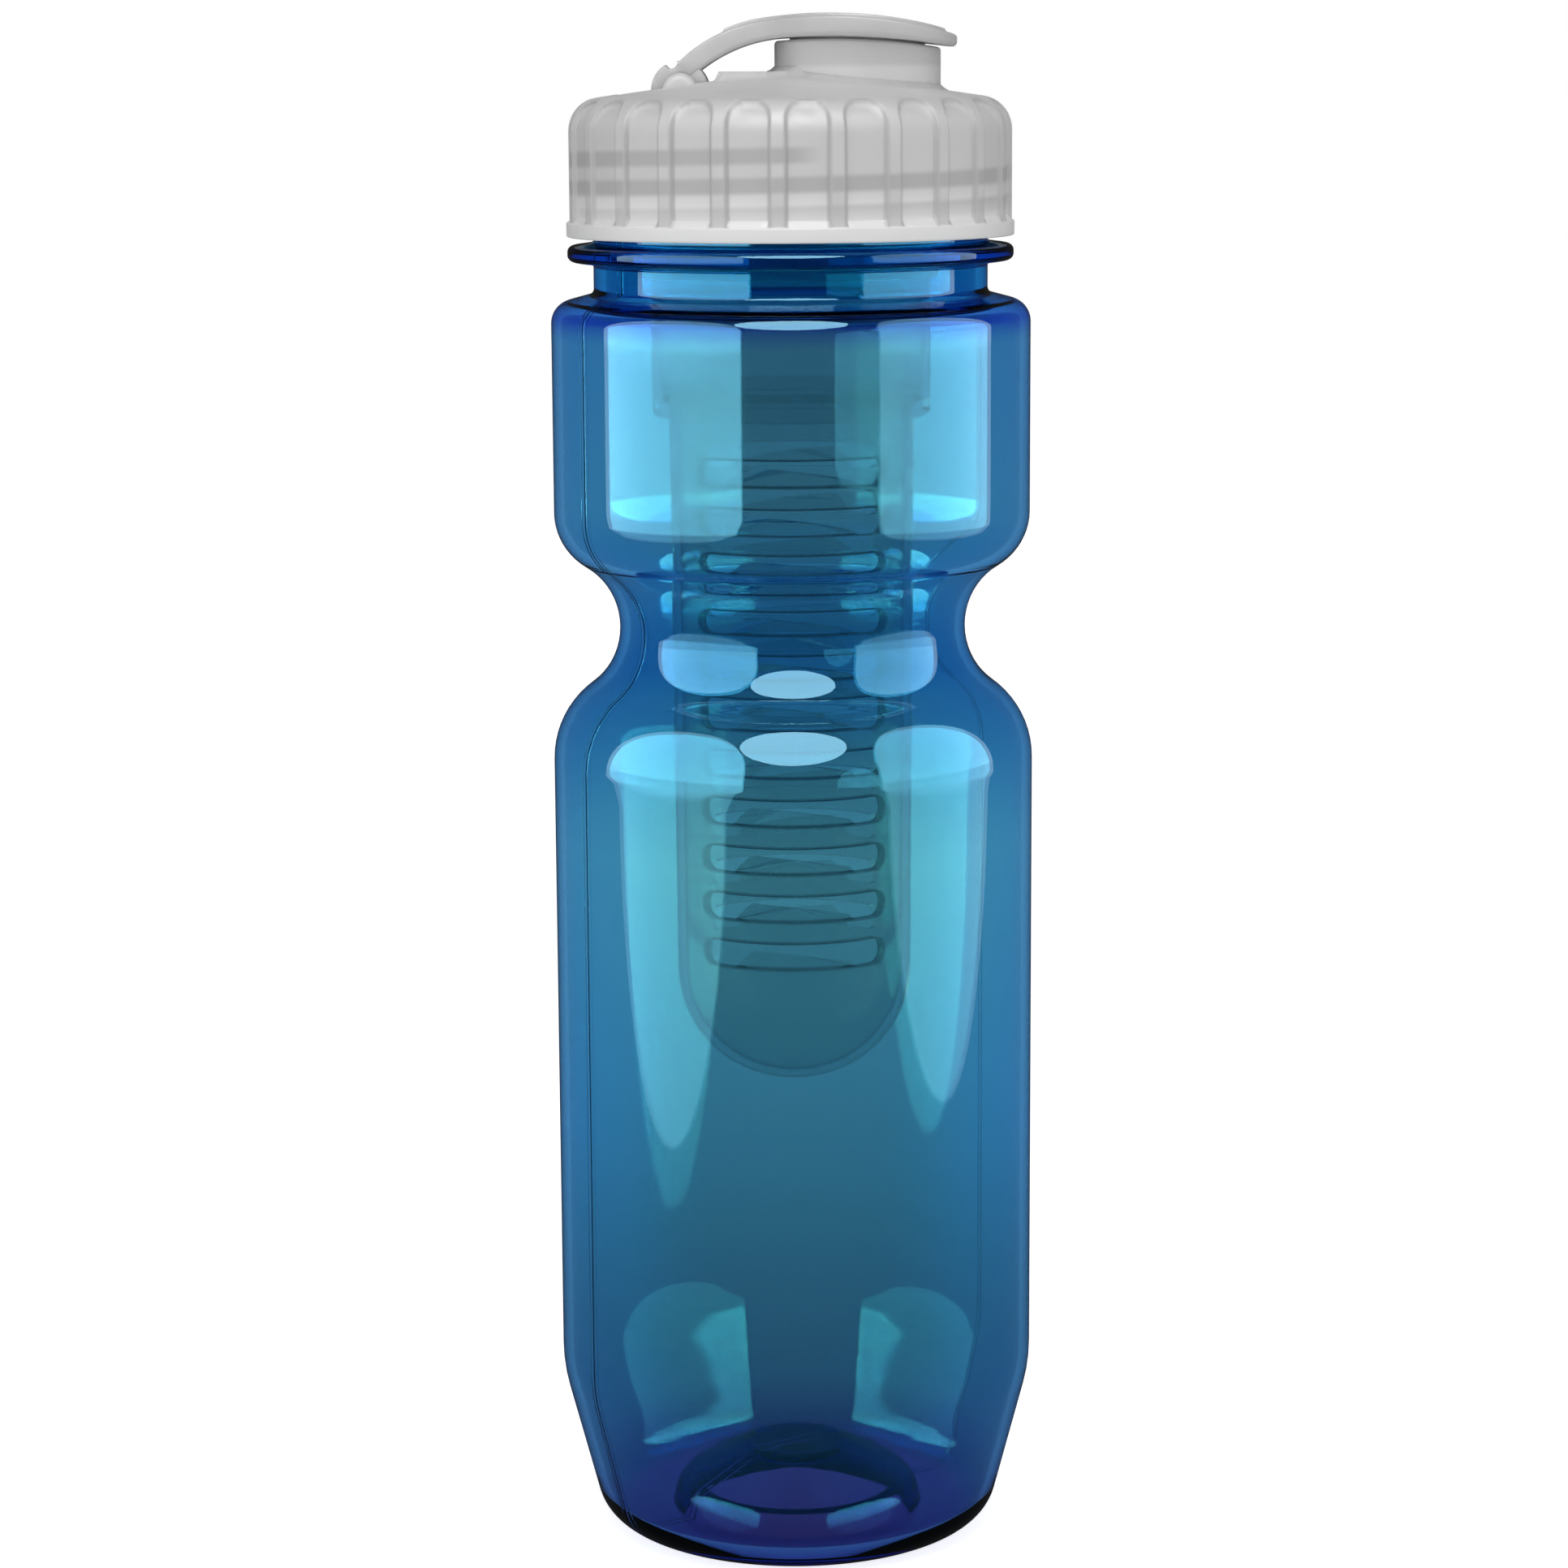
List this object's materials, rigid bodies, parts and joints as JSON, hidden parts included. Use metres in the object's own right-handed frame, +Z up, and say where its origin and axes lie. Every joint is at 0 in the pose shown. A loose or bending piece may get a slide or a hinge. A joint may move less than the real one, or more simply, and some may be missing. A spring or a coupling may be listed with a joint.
{
  "type": "fruit infuser water bottle",
  "caption": "Waisted translucent water bottle with a screw cap, a flip lid over a drinking spout, and a slotted infuser basket hung from the cap.",
  "frame": {"origin": "middle of the bottle's foot, on the surface that it stands on", "axes": "+Z up along the bottle's axis, +X from the hinge to the spout, -Y the side shown in the picture"},
  "size_m": [0.0734, 0.0734, 0.2337],
  "materials": {
    "bottle_blue": "clear, tinted blue, polished",
    "cap_frosted": "natural frosted, translucent",
    "seal_silicone": "soft white",
    "lid_frosted": "natural frosted, translucent",
    "pin_steel": "plain",
    "stopper_soft": "soft, natural",
    "collar_clear": "clear, polished",
    "basket_clear": "clear, polished"
  },
  "bodies": {
    "bottle": {"bottle_body": "bottle_blue"},
    "seal": {"cap_seal": "seal_silicone"},
    "cap": {"screw_cap": "cap_frosted", "hinge_pin": "pin_steel"},
    "lid": {"flip_lid": "lid_frosted", "spout_stopper": "stopper_soft"},
    "collar": {"infuser_collar": "collar_clear"},
    "basket": {"infuser_basket": "basket_clear"}
  },
  "joints": [
    {"name": "cap_lift", "type": "slide", "parent": "bottle", "child": "seal", "axis": [0, 0, 1], "range_m": [0, 0.0105]},
    {"name": "cap_turn", "type": "hinge", "parent": "seal", "child": "cap", "pos_m": [0, 0, 0.2], "axis": [0, 0, 1], "range_deg": [0, 900]},
    {"name": "lid_flip", "type": "hinge", "parent": "cap", "child": "lid", "pos_m": [-0.0163, 0, 0.22254], "axis": [0, -1, 0], "range_deg": [0, 115]},
    {"name": "infuser_pull", "type": "slide", "parent": "cap", "child": "collar", "axis": [0, 0, -1], "range_m": [0, 0.02]},
    {"name": "basket_lift", "type": "slide", "parent": "collar", "child": "basket", "axis": [0, 0, 1], "range_m": [0, 0.03]}
  ],
  "couplings": [
    {"joint": "cap_lift", "follows": "cap_turn", "m_per_rad": 0.00066845}
  ]
}
